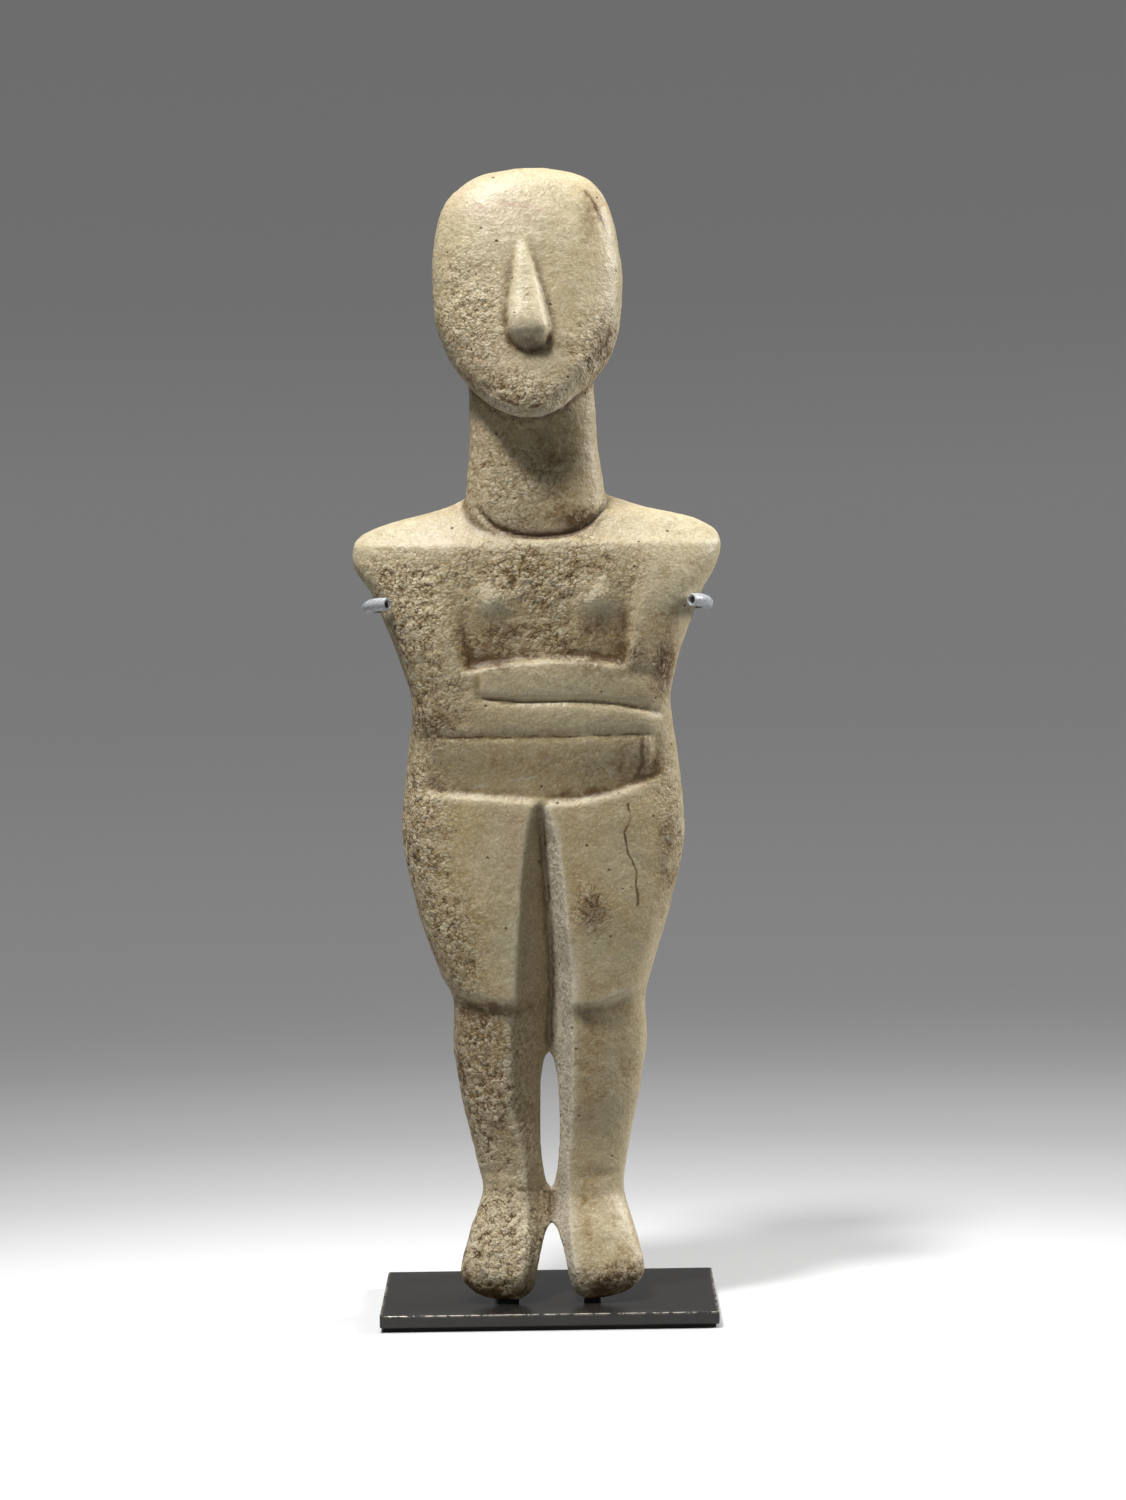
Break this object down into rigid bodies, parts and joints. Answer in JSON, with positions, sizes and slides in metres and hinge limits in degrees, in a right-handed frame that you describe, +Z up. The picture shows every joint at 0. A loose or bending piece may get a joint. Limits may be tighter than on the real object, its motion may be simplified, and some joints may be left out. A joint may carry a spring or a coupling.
{
  "type": "cycladic figurine",
  "caption": "Standing marble female figurine with folded arms, tilted face and pointed feet, held upright by a padded wire bracket on a flat metal base.",
  "frame": {"origin": "middle of the stand's underside", "axes": "+Z up along the figure, the face and folded arms look along -Y, +X is to the right of a person who faces the figure"},
  "size_m": [0.0961, 0.056, 0.3003],
  "materials": {
    "marble": "worn and weathered white marble with cream and ochre patina, pitted in places",
    "dark_bronze": "waxed dark brown-black patina with bright worn edges",
    "black_felt": "matt black felt",
    "blackened_metal": "satin black",
    "clear_tubing": "clear flexible tubing"
  },
  "bodies": {
    "root": {"figurine": "marble", "base_plate": "dark_bronze", "base_pad": "black_felt", "support_bracket": "blackened_metal", "sleeve_left": "clear_tubing", "sleeve_right": "clear_tubing", "toe_rest_left": "black_felt", "toe_rest_right": "black_felt"}
  },
  "joints": []
}
